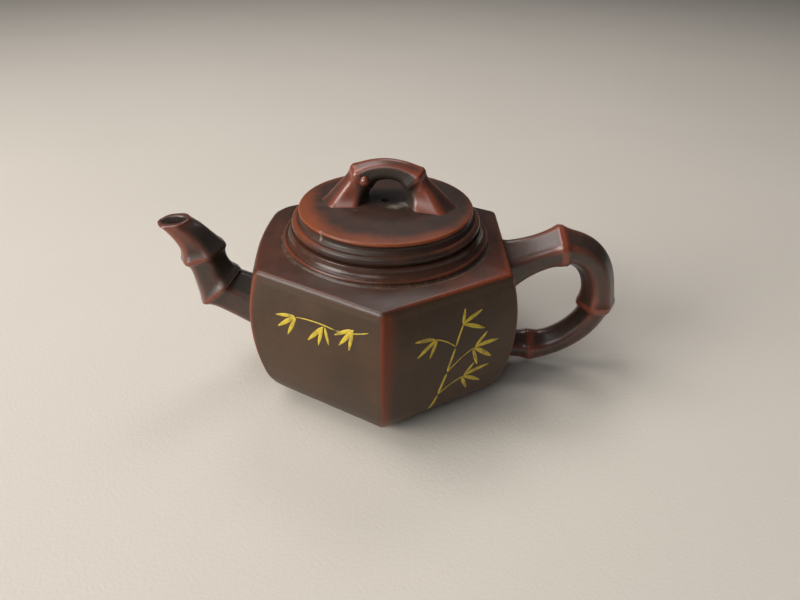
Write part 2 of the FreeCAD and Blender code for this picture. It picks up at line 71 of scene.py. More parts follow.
def addPiece(name, sheets, finish, body, stands=(), crease=38):
    # one closed mesh from its sheets, with the marks as point attributes; it rides on the body
    points, faces = [], []
    marks = {mark: [] for mark in ("wear", "dust", "tone", "polish")}
    first = 0
    for part in sheets:
        rows, cols = part["points"].shape[:2]
        quads, index = gridFaces(rows, cols, first, part["loop"], part["ring"])
        faces += quads
        if part["caps"] == "rows":
            faces += [index[0, :cols].tolist(), index[-1, :cols][::-1].tolist()]
        if part["caps"] == "columns":
            faces += [index[:rows, 0].tolist(), index[:rows, -1][::-1].tolist()]
        points.append(part["points"].reshape(-1, 3))
        blank = np.zeros((rows, cols))
        for mark, values in marks.items():
            values.append(np.asarray(part["marks"].get(mark, blank), float).ravel())
        first += rows * cols
    mesh = bpy.data.meshes.new(name)
    mesh.from_pydata(np.concatenate(points) * millimetre, [], faces)
    for mark, values in marks.items():
        layer = mesh.attributes.new(mark, "FLOAT", "POINT")
        layer.data.foreach_set("value", np.concatenate(values).astype(np.float32))
    weld(mesh)
    mesh.shade_smooth()
    mesh.set_sharp_from_angle(angle=math.radians(crease))
    mesh.materials.append(finish)
    piece = bpy.data.objects.new(name, mesh)
    bpy.context.scene.collection.objects.link(piece)
    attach(piece, body)
    if stands:
        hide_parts(*stands)
    return piece


def weld(mesh):
    # poles and seams are merged and the faces turned outwards
    shell = bmesh.new()
    shell.from_mesh(mesh)
    bmesh.ops.remove_doubles(shell, verts=shell.verts, dist=1e-6)
    bmesh.ops.dissolve_degenerate(shell, dist=1e-7, edges=shell.edges)
    bmesh.ops.recalc_face_normals(shell, faces=shell.faces)
    shell.to_mesh(mesh)
    shell.free()


def smooth(low, high, value):
    # 0 below low, 1 above high, and an S curve between
    share = np.clip((value - low) / (high - low), 0, 1)
    return share * share * (3 - 2 * share)


def blend(first, second, share):
    # first at share 0, second at share 1, and a straight line between
    return first * (1 - share) + second * share


def unit(vectors):
    # the same directions with length 1
    return vectors / np.linalg.norm(vectors, axis=-1, keepdims=True)


def column(values):
    # a list as one column of a grid
    return np.asarray(values, float)[:, None]


def around(columns):
    # angles of one closed turn, as a row
    return np.linspace(0, 2 * math.pi, columns, endpoint=False)[None, :]


# Shader building

class Wire:
    # a node's output; sums, differences and products of wires add Math nodes
    def __init__(self, owner, socket):
        self.owner = owner
        self.socket = socket

    def maths(self, operation, first, second):
        return self.owner.node("ShaderNodeMath", {"operation": operation}, {0: first, 1: second})

    def __add__(self, other):
        return self.maths("ADD", self, other)

    def __radd__(self, other):
        return self.maths("ADD", other, self)

    def __sub__(self, other):
        return self.maths("SUBTRACT", self, other)

    def __rsub__(self, other):
        return self.maths("SUBTRACT", other, self)

    def __mul__(self, other):
        return self.maths("MULTIPLY", self, other)

    def __rmul__(self, other):
        return self.maths("MULTIPLY", other, self)


class Finish:
    # a material and the one method that adds its nodes
    def __init__(self, name):
        self.material = bpy.data.materials.new(name)
        self.material.use_nodes = True
        self.tree = self.material.node_tree
        self.tree.nodes.clear()
        self.place = self.node("ShaderNodeTexCoord", out="Object")

    def node(self, kind, settings=None, sockets=None, out=0):
        made = self.tree.nodes.new(kind)
        for key, value in (settings or {}).items():
            setattr(made, key, value)
        for key, value in (sockets or {}).items():
            entry = self.find(made.inputs, key)
            if isinstance(value, Wire):
                self.tree.links.new(value.socket, entry)
            elif entry.type == "RGBA":
                entry.default_value = (*value, 1)
            else:
                entry.default_value = value
        return Wire(self, self.find(made.outputs, out)) if made.outputs else None

    def find(self, sockets, key):
        if isinstance(key, int):
            return [socket for socket in sockets if socket.enabled][key]
        return next(socket for socket in sockets if socket.enabled and socket.name == key)

    def noise(self, scale, detail, rough):
        sockets = {"Vector": self.place, "Scale": scale, "Detail": detail, "Roughness": rough}
        return self.node("ShaderNodeTexNoise", None, sockets)

    def mark(self, name):
        return self.node("ShaderNodeAttribute", {"attribute_name": name}, out="Fac")

    def rise(self, value, low, high):
        # an S curve from 0 at low to 1 at high
        sockets = {"Value": value, "From Min": low, "From Max": high}
        return self.node("ShaderNodeMapRange", {"interpolation_type": "SMOOTHSTEP"}, sockets)

    def mix(self, first, second, share):
        sockets = {"Factor": share, "A": first, "B": second}
        return self.node("ShaderNodeMix", {"data_type": "RGBA"}, sockets)

    def close(self, height, depth, sockets):
        bump = self.node("ShaderNodeBump", None, {"Height": height, "Distance": depth, "Strength": 1.0})
        shader = self.node("ShaderNodeBsdfPrincipled", None, {**sockets, "Normal": bump})
        self.node("ShaderNodeOutputMaterial", None, {"Surface": shader})
        return self.material


# What all clay surfaces share: noises as (scale, detail, roughness), where the patch takes its scale from
# the look, and how much each one does
grainLook = {
    "patch": (3.0, 0.55), "grain": (420, 4.0, 0.6), "speck": (2600, 2.0, 0.5), "grainShare": 0.6,
    "skinGrain": 0.4, "skinBetween": (0.36, 0.66),
    "fleckBetween": (0.68, 0.78), "fleckGrain": (0.5, 0.66), "fleckShare": 0.45,
    "dustSpeck": 0.6, "dustBetween": (0.40, 1.15),
    "roughPatch": 0.16, "roughGrain": 0.12, "wornGloss": 0.06, "dustRough": 0.3,
}


def clayFinish(name, look):
    # burnished clay: dark firing skin, red clay where hands have worn it, pale dust in the corners;
    # each noise swings about 0.5
    clay = Finish(name)
    patch = clay.noise(look["patchScale"], *grainLook["patch"])
    grain = clay.noise(*grainLook["grain"])
    speck = clay.noise(*grainLook["speck"])
    worn = clay.mark("wear") + (patch - 0.5) * look["wearPatch"] + (grain - 0.5) * look["wearGrain"]
    worn = clay.rise(worn, *look["wornBetween"])
    mottle = clay.rise(patch + (grain - 0.5) * grainLook["skinGrain"], *grainLook["skinBetween"])
    skin = clay.mix(look["dark"], look["brown"], mottle)
    skin = clay.mix(skin, look["red"], worn * look["redness"])
    # painted shade: the tone mark blends in a dark colour on the lid under the knob's arch, on the spout's
    # side facing the pot and in its bore, and on the arch's lower side; on the shoulder it blends in the
    # walls' own colour instead
    skin = clay.mix(skin, look["tone"], clay.mark("tone"))
    flecks = clay.rise(speck, *grainLook["fleckBetween"]) * clay.rise(grain, *grainLook["fleckGrain"])
    skin = clay.mix(skin, look["fleck"], flecks * grainLook["fleckShare"])
    dusty = clay.mark("dust") + (grain - 0.5) * look["dustGrain"] + (speck - 0.5) * grainLook["dustSpeck"]
    dusty = clay.rise(dusty, *grainLook["dustBetween"])
    skin = clay.mix(skin, look["dust"], dusty * look["dustiness"])
    rough = look["rough"] + (patch - 0.5) * grainLook["roughPatch"]
    rough = rough + (grain - 0.5) * grainLook["roughGrain"]
    rough = rough - worn * grainLook["wornGloss"] + dusty * grainLook["dustRough"]
    rough = rough + clay.mark("tone") * look["shadeRough"] - clay.mark("polish") * look["polished"]
    height = grain * grainLook["grainShare"] + speck * (1 - grainLook["grainShare"])
    return clay.close(height, look["grainDepth"] * millimetre, {
        "Base Color": skin, "Roughness": rough, "Specular IOR Level": look["shine"],
        "Coat Weight": look["coat"], "Coat Roughness": look["coatRough"],
    })


wallLook = {
    "dark": (0.050, 0.028, 0.015), "brown": (0.072, 0.039, 0.020), "red": (0.165, 0.036, 0.014),
    "tone": (0.02, 0.014, 0.012), "fleck": (0.17, 0.12, 0.085), "dust": (0.29, 0.25, 0.195),
    "patchScale": 45, "wearPatch": 0.45, "wearGrain": 0.20, "wornBetween": (0.30, 1.05), "redness": 1.0,
    "dustiness": 0.75, "dustGrain": 0.25, "rough": 0.46, "shadeRough": 0.0, "polished": 0.14,
    "grainDepth": 0.09, "shine": 0.30, "coat": 0.08, "coatRough": 0.3,
}
shoulderLook = {
    **wallLook,
    "dark": (0.048, 0.023, 0.015), "brown": (0.080, 0.031, 0.019), "red": (0.165, 0.038, 0.015),
    "tone": (0.065, 0.036, 0.020), "rough": 0.34, "shine": 0.36,
}
lidLook = {
    **shoulderLook,
    "dark": (0.036, 0.020, 0.014), "brown": (0.060, 0.026, 0.017), "red": (0.235, 0.058, 0.020),
    # the tone colour here is near black: painted shade on the lid under the knob's arch
    "tone": (0.010, 0.008, 0.006), "patchScale": 60, "wearPatch": 0.8, "dustGrain": 0.9,
    "rough": 0.50, "shadeRough": 0.4, "shine": 0.30,
}
stemLook = {
    **wallLook,
    "dark": (0.040, 0.026, 0.019), "brown": (0.066, 0.033, 0.023), "red": (0.205, 0.052, 0.028),
    # the tone colour here is painted shade: the spout's side facing the pot and its bore, and the knob
    # arch's lower side
    "tone": (0.022, 0.016, 0.010), "wornBetween": (0.22, 1.0), "rough": 0.34, "shadeRough": 0.30,
    "shine": 0.5, "coat": 0.35, "coatRough": 0.24,
}
budLook = {
    **stemLook,
    "dark": (0.085, 0.022, 0.012), "brown": (0.14, 0.034, 0.016), "red": (0.22, 0.060, 0.025),
    "rough": 0.24, "grainDepth": 0.02, "coat": 0.6, "coatRough": 0.12,
}
insideLook = {
    **wallLook,
    "dark": (0.080, 0.042, 0.030), "brown": (0.12, 0.055, 0.036), "rough": 0.6, "coat": 0.0,
}
wallClay = clayFinish("WallClay", wallLook)
shoulderClay = clayFinish("ShoulderClay", shoulderLook)
lidClay = clayFinish("LidClay", lidLook)
stemClay = clayFinish("StemClay", stemLook)
budClay = clayFinish("BudClay", budLook)
insideClay = clayFinish("InsideClay", insideLook)

brushLook = {
    "paint": (0.62, 0.46, 0.035), "thin": (0.36, 0.25, 0.03), "bare": (0.10, 0.07, 0.04),
    "load": (320, 3.0, 0.6), "scuff": (1500, 2.0, 0.6),
    "paintBetween": (0.34, 0.56), "bareBetween": (1.22, 1.42),
    "rough": 0.55, "roughLoad": 0.2, "scuffDepth": 0.04,
}


def brushFinish(name, look):
    # yellow slip put on with a brush: thinner in patches, worn through in a few spots
    slip = Finish(name)
    load = slip.noise(*look["load"])
    scuff = slip.noise(*look["scuff"])
    colour = slip.mix(look["thin"], look["paint"], slip.rise(load, *look["paintBetween"]))
    colour = slip.mix(colour, look["bare"], slip.rise(scuff + load, *look["bareBetween"]))
    rough = look["rough"] + (load - 0.5) * look["roughLoad"]
    return slip.close(scuff, look["scuffDepth"] * millimetre, {"Base Color": colour, "Roughness": rough})


yellowSlip = brushFinish("YellowSlip", brushLook)
print("finishes ready")

# Six-sided pot

pot = {
    "bellyApothem": 42.9, "bellyHeight": 33.0, "upperBow": 60.7, "lowerBow": 80.0,
    "heelHeight": 13.0, "heelCentre": (21.45, 17.88), "heelBow": 19.53,
    "arrisBend": 1.7, "softArris": 150, "softBend": 6.5, "softBetween": (12, 50),
    "spoutSideBow": 2.1, "bowBetween": (18, 48),
    "wall": 3.0, "insideBend": 0.4, "baseTop": 3.4, "seamHeight": 49.2,
    "halfFlank": 24.4, "holeRadius": 6.6, "holeOutside": 25.3, "holeInside": 23.8,
    "rows": 64, "columns": 56, "flankColumns": 28,
}
wallWear = {
    "ahead": 1.2, "behind": 2.4, "behindFront": 7.0, "full": 1.25,
    "lowWidth": 0.8, "highMore": 0.3, "wideBetween": (20, 50),
    "heel": 0.25, "heelTop": 9, "inside": 0.5, "insideDust": 0.6,
}
# each flank faces this many degrees round from +X
flanks = {
    "wall_handle_side": 0, "wall_back_right": 60, "wall_back_left": 120,
    "wall_spout_side": 180, "wall_front_left": 240, "wall_front_right": 300,
}


def wallOut(z):
    # a flat's distance from the axis: an arc above the belly, a flatter one below, a tight one at the heel
    rise = z - pot["bellyHeight"]
    bow = np.where(rise > 0, pot["upperBow"], pot["lowerBow"])
    side = pot["bellyApothem"] - bow + np.sqrt(bow**2 - np.minimum(np.abs(rise), bow)**2)
    out, up = pot["heelCentre"]
    heel = out + np.sqrt(np.maximum(pot["heelBow"]**2 - (z - up)**2, 0))
    return np.where(z < pot["heelHeight"], heel, side)


def wallInner(z):
    # the wall's thickness is measured square to its slope
    step = 0.05
    slope = (wallOut(z + step) - wallOut(z - step)) / (2 * step)
    return wallOut(z) - pot["wall"] * np.sqrt(1 + slope**2)


def flankPlan(apothem, bend, across):
    # one flank of a rounded hexagon: straight in the middle, then an arc of the given bend to the mitre;
    # across runs from -1 to 1 by length along the line
    flat = (apothem - bend) * math.tan(math.pi / 6)
    arc = bend * math.pi / 6
    run = np.abs(across) * (flat + arc)
    past = np.maximum(run - flat, 0)
    out = apothem - bend + bend * np.cos(past / bend)
    side = (np.minimum(run, flat) + bend * np.sin(past / bend)) * np.sign(across)
    return out, side, flat + arc - run


def arrisBend(degrees, across, z):
    # all arrises are crisp but one, which is pressed rounder towards the shoulder
    ahead = (degrees + 30 == pot["softArris"]) & (across > 0)
    behind = (degrees - 30 == pot["softArris"]) & (across < 0)
    return pot["arrisBend"] + (ahead | behind) * pot["softBend"] * smooth(*pot["softBetween"], z)


def spoutBow(across, z):
    # the flank behind the spout is pressed outwards a little: a parabola in plan
    return pot["spoutSideBow"] * (1 - across**2) * smooth(*pot["bowBetween"], z)


def turnedBy(degrees, out, side):
    # x and y of a point that lies out and to the side on a flank facing that way
    angle = math.radians(degrees)
    return out * math.cos(angle) - side * math.sin(angle), out * math.sin(angle) + side * math.cos(angle)


def arrisWear(degrees, gap, across, z):
    # 1 on the arris, falling evenly over the wear width, which is narrow ahead of the arris, wider behind
    # and widest behind the front one
    front = np.asarray(degrees) == flanks["wall_front_right"]
    behind = np.where(front, wallWear["behindFront"], wallWear["behind"])
    widening = wallWear["lowWidth"] + wallWear["highMore"] * smooth(*wallWear["wideBetween"], z)
    width = np.where(across > 0, wallWear["ahead"], behind) * widening
    return np.clip(wallWear["full"] * (1 - gap / width), 0, 1)


def plainGrid():
    # across the flank by length, denser at the arrises, and up by height
    across = np.sin(np.linspace(-1, 1, pot["columns"]) * math.pi / 2)[None, :]
    return across, np.linspace(pot["baseTop"], pot["seamHeight"], pot["rows"])[:, None]


def piercedGrid(holeHeight):
    # the same flank as rays from the edge of the pouring hole to the flank's border, denser at the border
    swing = np.sin(np.linspace(-1, 1, pot["columns"])[:-1] * math.pi / 2)
    low, high = pot["baseTop"], pot["seamHeight"]
    climb = np.linspace(low, high, pot["rows"])[:-1]
    lower, upper = np.full_like(swing, low), np.full_like(swing, high)
    edgeAcross = np.concatenate([swing, np.ones_like(climb), -swing, -np.ones_like(climb)])
    edgeUp = np.concatenate([lower, climb, upper, low + high - climb])
    turn = np.arctan2(edgeUp - holeHeight, edgeAcross * pot["halfFlank"])
    holeAcross = pot["holeRadius"] * np.cos(turn) / pot["halfFlank"]
    holeUp = holeHeight + pot["holeRadius"] * np.sin(turn)
    share = np.sin(np.linspace(0, 1, pot["rows"] // 2) * math.pi / 2)[:, None]
    return blend(holeAcross, edgeAcross, share), blend(holeUp, edgeUp, share)


def wallSheet(degrees):
    # outer and inner skin of a flank, joined round the border and, where the flank is pierced, at the hole
    pierced = degrees == flanks["wall_spout_side"]
    across, up = piercedGrid(pot["holeOutside"]) if pierced else plainGrid()
    inAcross, inUp = piercedGrid(pot["holeInside"]) if pierced else plainGrid()
    bow, inBow = (spoutBow(across, up), spoutBow(inAcross, inUp)) if pierced else (0.0, 0.0)
    out, side, gap = flankPlan(wallOut(up), arrisBend(degrees, across, up), across)
    inOut, inSide, _ = flankPlan(wallInner(inUp), pot["insideBend"], inAcross)
    heel = np.clip((wallWear["heelTop"] - up) / wallWear["heelTop"], 0, 1) * wallWear["heel"]
    wear = np.maximum(arrisWear(degrees, gap, across, up), heel)
    out = np.vstack([out + bow, (inOut + inBow)[::-1]])
    x, y = turnedBy(degrees, out, np.vstack([side, inSide[::-1]]))
    z = np.vstack([up, inUp[::-1]])
    inside = np.ones_like(wear)
    wear = np.vstack([wear, inside * wallWear["inside"]])
    dust = np.vstack([inside * 0, inside * wallWear["insideDust"]])
    caps = "" if pierced else "columns"
    return sheet(x, y, z, loop=True, ring=pierced, caps=caps, wear=wear, dust=dust)


for name, degrees in flanks.items():
    addPiece(name + "_clay", [wallSheet(degrees)], wallClay, "pot", [name])
print("walls done")


def hexRound(apothem, height, limit):
    # rounded hexagons, one per row: six flanks laid end to end round the axis
    across = np.sin(np.linspace(-1, 1, pot["flankColumns"] + 1)[:-1] * math.pi / 2)[None, :]
    laid = []
    for degrees in flanks.values():
        bend = np.minimum(arrisBend(degrees, across, height), limit)
        out, side, gap = flankPlan(apothem, bend, across)
        laid.append((*turnedBy(degrees, out, side), gap, np.broadcast_to(across, gap.shape)))
    return [np.hstack(parts) for parts in zip(*laid)]


base = {
    "recess": 0.8, "recessApothem": 24.8, "footStart": 0.25, "footInset": 0.5, "heelRows": 10, "pole": 0.01,
    "bendPart": 0.9, "arrisWear": 0.6, "arrisWidth": 6, "footWearAndPaintedLight": 0.3, "footTop": 3,
}


def addBase():
    # one closed skin from the middle of the recess out over the foot, up the heel and back over the floor
    heel = np.linspace(base["footStart"], pot["baseTop"], base["heelRows"])
    inner, recess = base["recessApothem"], base["recess"]
    under = [
        (base["pole"], recess), (inner * 0.5, recess), (inner - 0.4, recess), (inner - 0.1, recess - 0.2),
        (inner + 0.3, 0.0), (wallOut(np.array(0.0)) - base["footInset"], 0.0),
    ]
    floor = [(reach, pot["baseTop"]) for reach in (30, 15, base["pole"])]
    line = np.array(under + list(zip(wallOut(heel), heel)) + floor)
    apothem, z = column(line[:, 0]), column(line[:, 1])
    x, y, gap, _ = hexRound(apothem, z, apothem * base["bendPart"])
    wear = np.clip(1 - gap / base["arrisWidth"], 0, 1) * base["arrisWear"]
    wear = wear + base["footWearAndPaintedLight"] * (z < base["footTop"])
    dust = wallWear["insideDust"] * (np.arange(len(line)) >= len(line) - len(floor))
    grid = sheet(x, y, z, ring=True, caps="rows", wear=wear, dust=column(dust))
    addPiece("base_slab_clay", [grid], wallClay, "pot", ["base_slab"])


addBase()

shoulder = {
    "cornerApothem": 39.85, "cornerHeight": 52.0, "turnStart": 50.9,
    "crownApothem": 39.0, "crownHeight": 52.28, "crownHollow": 1.25,
    "neckRadius": 35.0, "neckFoot": 53.4, "mouthRadius": 27.4,
    "underRadius": 34.4, "underDrop": 0.5, "sideRows": 4, "turnRows": 9, "crownRows": 22,
    "plainWear": 0.16, "edgeHeight": 52.1, "edgeWidth": 0.9, "edgeFade": 0.25, "edgeWear": 0.75,
    "cornerWidth": 5, "cornerWear": 0.6, "unhandled": 0.55,
    "handled": 0.42, "handledAlong": (-6, 34), "handledNear": (14, -20),
    "dust": 0.42, "dustBetween": (0.86, 1.0), "dustAbove": 53, "sideBetween": (52.0, 51.2), "sideLess": 0.6,
}


def bent(first, corner, last, share):
    # quadratic curve from first to last, drawn towards the corner
    return first * (1 - share)**2 + corner * 2 * share * (1 - share) + last * share**2


def addShoulder():
    # wall line, rounded edge, a crown that goes from the hexagon to the neck's circle, slightly hollow,
    # then in below the neck, down the mouth and out along the seam
    low = np.linspace(pot["seamHeight"], shoulder["turnStart"], shoulder["sideRows"])
    share = np.linspace(0, 1, shoulder["turnRows"])[1:]
    start = wallOut(np.array(shoulder["turnStart"]))
    turnOut = bent(start, shoulder["cornerApothem"], shoulder["crownApothem"], share)
    turnUp = bent(shoulder["turnStart"], shoulder["cornerHeight"], shoulder["crownHeight"], share)
    crown = np.linspace(0, 1, shoulder["crownRows"])[1:]
    crownUp = blend(shoulder["crownHeight"], shoulder["neckFoot"], crown ** shoulder["crownHollow"])
    below = shoulder["neckFoot"] - shoulder["underDrop"]
    underOut = [shoulder["underRadius"], shoulder["mouthRadius"], shoulder["mouthRadius"]]
    underUp = [below, below, pot["seamHeight"]]
    inward = np.full(len(crown) + len(underOut), shoulder["crownApothem"])
    neckLine = np.full(len(low) + len(turnOut) + len(crown), shoulder["neckRadius"])
    hexOut = column(np.concatenate([wallOut(low), turnOut, inward]))
    radius = column(np.concatenate([neckLine, underOut]))
    roundness = column(np.concatenate([np.zeros(len(low) + len(turnOut)), crown, np.ones(len(underOut))]))
    up = column(np.concatenate([low, turnUp, crownUp, underUp]))
    x, y, gap, across = hexRound(hexOut, up, hexOut)
    angle = np.arctan2(y, x)
    spoutSide = np.abs(np.abs(angle) - math.pi) < math.pi / 6
    x = x - np.where(spoutSide, spoutBow(across, up), 0)
    x = blend(x, radius * np.cos(angle), roundness)
    y = blend(y, radius * np.sin(angle), roundness)
    edge = np.clip(1 - np.abs(up - shoulder["edgeHeight"]) / shoulder["edgeWidth"], 0, 1)
    edge = edge * (1 - smooth(0.0, shoulder["edgeFade"], roundness))
    corner = np.clip(1 - gap / shoulder["cornerWidth"], 0, 1) * (1 - roundness)**3
    handled = smooth(*shoulder["handledAlong"], x) * smooth(*shoulder["handledNear"], y)
    handled = handled * shoulder["handled"]
    wear = np.maximum(edge * shoulder["edgeWear"], corner * shoulder["cornerWear"])
    wear = wear * (shoulder["unhandled"] + handled) + handled + shoulder["plainWear"]
    dust = smooth(*shoulder["dustBetween"], roundness) * shoulder["dust"] * (up > shoulder["dustAbove"])
    # the strip above the seam carries on the walls' colour and the red of their arrises
    side = smooth(*shoulder["sideBetween"], up) * (roundness == 0)
    flank = np.round(np.degrees(angle) / 60) * 60 % 360
    band = arrisWear(flank, gap, across, up) * side
    wear = np.maximum(wear * (1 - shoulder["sideLess"] * side), band)
    grid = sheet(x, y, up, loop=True, ring=True, wear=wear, dust=dust, tone=side * (1 - band))
    addPiece("shoulder_slab_clay", [grid], shoulderClay, "pot", ["shoulder_slab"])


addShoulder()
print("base and shoulder done")

# Turned rings: a closed profile of radius, height, wear and dust, carried round the axis

turning = {
    "columns": 192, "frontWear": 0.6,
    "wobble": 0.10, "wobbleFrom": 20, "waves": ((3, 0.7, 1.0), (7, 2.1, 0.6)),
}
clear = (0, 0)


def arcLine(start, end, sag, rows):
    # points from start to end, pushed sideways by a parabola of the given sag (positive is outwards)
    share = np.linspace(0, 1, rows)[:, None]
    start, end = np.array(start, float), np.array(end, float)
    chord = end - start
    away = np.array([chord[1], -chord[0]]) / np.linalg.norm(chord)
    return start + chord * share + away * 4 * sag * share * (1 - share)


def profile(*runs):
    # runs of (radius, height) points, each with its wear and dust at both ends
    spots, wear, dust = [], [], []
    for points, wearEnds, dustEnds in runs:
        spots.append(np.asarray(points, float).reshape(-1, 2))
        wear.append(np.linspace(*wearEnds, len(spots[-1])))
        dust.append(np.linspace(*dustEnds, len(spots[-1])))
    return np.concatenate(spots), np.concatenate(wear), np.concatenate(dust)


def sideWear(angle):
    # wear is full to the left and right and less in front and behind
    return turning["frontWear"] + (1 - turning["frontWear"]) * np.abs(np.cos(angle))


def turnedSheet(spots, wobble, **marks):
    # circles of the profile's radii, a little out of round by two sine waves of the angle
    angle = around(turning["columns"])
    drift = wobble * sum(size * np.sin(count * angle + start) for count, start, size in turning["waves"])
    radius = column(spots[:, 0]) + drift * (column(spots[:, 0]) > turning["wobbleFrom"])
    x, y = radius * np.cos(angle), radius * np.sin(angle)
    marks = {mark: values if np.ndim(values) == 2 else column(values) for mark, values in marks.items()}
    marks["wear"] = marks["wear"] * sideWear(angle)
    return sheet(x, y, column(spots[:, 1]), loop=True, ring=True, **marks)


def addTurned(name, runs, finish, body):
    # one ring from its profile, polished all over
    spots, wear, dust = profile(*runs)
    grid = turnedSheet(spots, turning["wobble"], wear=wear, dust=dust, polish=np.ones(len(spots)))
    return addPiece(name + "_clay", [grid], finish, body, [name])


neck = {
    "mouth": shoulder["mouthRadius"], "foot": shoulder["neckFoot"], "radius": shoulder["neckRadius"],
    "waist": 33.35, "waistHeight": 54.2, "lip": 33.9, "lipHeight": 54.6, "joint": 55.1, "jointRadius": 32.6,
}
neckFoot = (neck["radius"] + 0.15, neck["foot"] - 0.08)
neckLip = (neck["lip"], neck["lipHeight"])
addTurned("neck_ring", [
    ([(neck["mouth"], neck["foot"] - 0.4)], clear, clear),
    (arcLine(neckFoot, (neck["waist"], neck["waistHeight"]), -0.22, 9), clear, (0.60, 0.5)),
    (arcLine((neck["waist"] + 0.1, neck["waistHeight"] + 0.05), neckLip, 0.06, 5), (0.4, 0.9), (0.3, 0)),
    (arcLine((neck["lip"] + 0.03, 54.72), (neck["lip"] - 0.85, 55.3), 0.22, 8), (1, 0.5), clear),
    ([(neck["jointRadius"], neck["joint"]), (neck["mouth"], neck["joint"])], (0.3, 0), clear),
], shoulderClay, "pot")

rim = {"radius": 32.9, "top": 58.1, "flat": 31.5, "seat": (30.4, 28.0), "mouthDrop": 0.6}
rimFoot = (rim["radius"] + 0.15, neck["joint"])
addTurned("mouth_rim", [
    ([(neck["mouth"], neck["joint"])], clear, clear),
    (arcLine(rimFoot, (rim["flat"], rim["top"] - 0.3), -0.42, 20), (0.35, 0.15), clear),
    ([(rim["flat"] - 0.15, rim["top"] - 0.08)], (0.2, 0.2), clear),
    ([(radius, rim["top"]) for radius in rim["seat"]], (0.3, 0.3), clear),
    ([(neck["mouth"], rim["top"] - rim["mouthDrop"])], clear, clear),
], shoulderClay, "pot")

lid = {
    "seat": rim["top"], "ringTop": 61.3, "ringRadius": 31.0, "bore": 24.6, "rim": 28.5, "plateTop": 64.8,
    "top": 66.1, "vent": 1.4, "domeRadius": 27.9, "domeRows": 30, "wobble": 0.05,
    "wornTowards": 228, "plainWear": 0.22, "bandWear": 0.30, "bandMore": 0.36, "bandBetween": (24.8, 27.8),
    # shade, shadeHalf and shadeBehind are painted shade on the top under the knob's arch: strength, half
    # sizes, and how far behind the middle
    "bandWider": 6.0, "shade": 0.95, "shadeHalf": (8.5, 7.0), "shadeBehind": 3.0,
    # x, y, radius and strength of each dusty spot; the last is a chip in the rim
    "dustSpots": [
        (6.5, -2.8, 3.2, 1.05), (2.0, -5.0, 2.4, 0.85), (-20, -2.8, 3.0, 0.62), (22.5, -1.0, 2.4, 0.62),
        (-9.5, -7.6, 1.6, 0.5), (19, -6.0, 2.0, 0.62), (-19.2, -20.7, 0.65, 1.15),
    ],
}
ringOut, ringTop = lid["ringRadius"], lid["ringTop"]
addTurned("lid_ring", [
    ([(lid["bore"], lid["seat"])], clear, clear),
    (arcLine((ringOut - 1.2, lid["seat"]), (ringOut, ringTop - 1.6), 0.34, 12), (0.0, 0.4), clear),
    (arcLine((ringOut + 0.01, ringTop - 1.5), (ringOut - 1.5, ringTop), 0.46, 14), (0.45, 0.75), clear),
    ([(29.2, ringTop), (28.6, ringTop), (lid["bore"], ringTop)], (0.4, 0), (0.1, 0.2)),
], lidClay, "lid")


def addLidPlate():
    # cove under the rim, rounded rim, and a top that rises as a parabola to the vent
    rimOut, plateTop, vent = lid["rim"], lid["plateTop"], lid["vent"]
    reach = np.concatenate([[27.6, 27.0], np.linspace(26, vent, lid["domeRows"])])
    dome = plateTop + (lid["top"] - plateTop) * (1 - (reach / lid["domeRadius"])**2)
    angle = around(turning["columns"])
    handled = 0.5 + 0.5 * np.cos(angle - math.radians(lid["wornTowards"]))
    bandStart, bandEnd = lid["bandBetween"]
    redBand = smooth(bandStart - lid["bandWider"] * handled, bandEnd, column(reach))
    redBand = redBand * (lid["bandWear"] + lid["bandMore"] * handled) + lid["plainWear"]
    spots, wear, _ = profile(
        ([(vent, ringTop)], clear, clear),
        ([(20, ringTop), (29.0, ringTop)], clear, clear),
        (arcLine((29.3, ringTop + 0.03), (rimOut - 0.2, plateTop - 1.0), -0.70, 16), (0, 0.4), clear),
        (arcLine((rimOut - 0.1, plateTop - 0.95), (rimOut - 0.55, plateTop), 0.28, 7), (0.9, 1), clear),
    )
    polish = np.concatenate([np.ones(len(spots)), np.zeros(len(reach))])
    spots = np.concatenate([spots, np.stack([reach, dome], -1)])
    wear = np.vstack([np.broadcast_to(column(wear), (len(wear), angle.size)), redBand])
    x, y = column(spots[:, 0]) * np.cos(angle), column(spots[:, 0]) * np.sin(angle)
    dust = sum(strength * np.exp(-((x - spotX)**2 + (y - spotY)**2) / size**2)
               for spotX, spotY, size, strength in lid["dustSpots"])
    # painted shade: the top is darkened and made rougher under the knob's arch, a little behind the middle
    halfLong, halfDeep = lid["shadeHalf"]
    tone = lid["shade"] * np.exp(-(x / halfLong)**4 - ((y - lid["shadeBehind"]) / halfDeep)**4)
    marks = {"wear": wear / sideWear(angle), "dust": dust, "tone": tone, "polish": polish}
    grid = turnedSheet(spots, lid["wobble"], **marks)
    addPiece("lid_plate_clay", [grid], lidClay, "lid", ["lid_plate"])


addLidPlate()
print("neck and lid done")

# Bamboo stems: a soft hexagon carried along cubic spans, with a ridge at each node

stemWear = {"bandMore": 0.3, "flare": 0.45, "step": 0.6, "ridge": 0.95, "nearNode": 0.5, "nodeReach": 7}
ridgeRound = 0.3  # squared millimetres; rounds the top of each ridge
bendLength = 1.6  # of a corner's curve, for each unit of its soft


def cubic(controls, share):
    # point and direction of a cubic curve at shares of its way
    first, lead, tail, last = np.asarray(controls, float)
    ahead = column(share)
    rest = 1 - ahead
    spot = first * rest**3 + 3 * lead * rest**2 * ahead + 3 * tail * rest * ahead**2 + last * ahead**3
    way = (lead - first) * rest**2 + 2 * (tail - lead) * rest * ahead + (last - tail) * ahead**2
    return spot, unit(way)


def straight(start, end):
    # the controls of a cubic that runs straight, a third of the way apart
    start, end = np.array(start, float), np.array(end, float)
    return [start, start + (end - start) / 3, start + (end - start) * 2 / 3, end]


